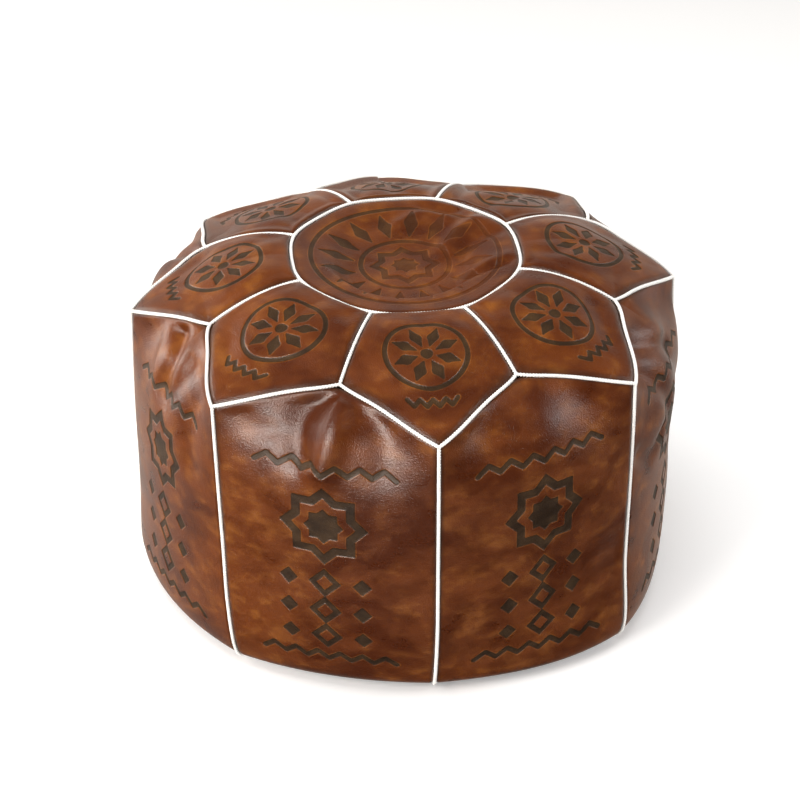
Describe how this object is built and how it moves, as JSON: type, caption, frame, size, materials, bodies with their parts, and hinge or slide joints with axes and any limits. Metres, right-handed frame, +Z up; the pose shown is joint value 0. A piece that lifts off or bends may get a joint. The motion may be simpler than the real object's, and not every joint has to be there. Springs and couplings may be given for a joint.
{
  "type": "moroccan leather pouf",
  "caption": "Round stuffed leather floor pouf: a disc and ring of petals on top, gabled side panels below, corded seams, and a zip across the base.",
  "frame": {"origin": "centre of the footprint, on the floor", "axes": "+Z up, the zip runs along X, -Y is the front"},
  "size_m": [0.5302, 0.5302, 0.3455],
  "materials": {
    "leather": "burnished, satin to gloss",
    "cord": "twisted cotton, matte",
    "base_leather": "satin",
    "zip_tape": "woven, matte",
    "zip_coil": "satin",
    "zip_metal": "antique, satin",
    "bag_cloth": "plain weave, matte",
    "stuffing": "loose wadding, matte"
  },
  "bodies": {
    "pouf": {"top_disc": "leather", "disc_cord": "cord", "petal_1": "leather", "petal_2": "leather", "petal_3": "leather", "petal_4": "leather", "petal_5": "leather", "petal_6": "leather", "petal_7": "leather", "petal_8": "leather", "side_panel_1": "leather", "side_panel_2": "leather", "side_panel_3": "leather", "side_panel_4": "leather", "side_panel_5": "leather", "side_panel_6": "leather", "side_panel_7": "leather", "side_panel_8": "leather", "radial_cord_1": "cord", "radial_cord_2": "cord", "radial_cord_3": "cord", "radial_cord_4": "cord", "radial_cord_5": "cord", "radial_cord_6": "cord", "radial_cord_7": "cord", "radial_cord_8": "cord", "gable_cord_1": "cord", "gable_cord_2": "cord", "gable_cord_3": "cord", "gable_cord_4": "cord", "gable_cord_5": "cord", "gable_cord_6": "cord", "gable_cord_7": "cord", "gable_cord_8": "cord", "side_cord_1": "cord", "side_cord_2": "cord", "side_cord_3": "cord", "side_cord_4": "cord", "side_cord_5": "cord", "side_cord_6": "cord", "side_cord_7": "cord", "side_cord_8": "cord", "base_welt": "base_leather", "base_panel_front": "base_leather", "base_panel_back": "base_leather", "zip_tape_front": "zip_tape", "zip_tape_back": "zip_tape", "zip_coil_front": "zip_coil", "zip_coil_back": "zip_coil", "zip_stop_closed": "zip_metal", "zip_stop_open": "zip_metal", "inner_bag": "bag_cloth", "stuffing": "stuffing"},
    "zip_slider": {"zip_slider": "zip_metal"},
    "zip_puller": {"zip_puller": "zip_metal"}
  },
  "joints": [
    {"name": "zip_slide", "type": "slide", "parent": "pouf", "child": "zip_slider", "axis": [-1, 0, 0], "range_m": [0, 0.34]},
    {"name": "puller_swing", "type": "hinge", "parent": "zip_slider", "child": "zip_puller", "pos_m": [0.17, 0, 0.0051], "axis": [0, -1, 0], "range_deg": [0, 175]}
  ]
}
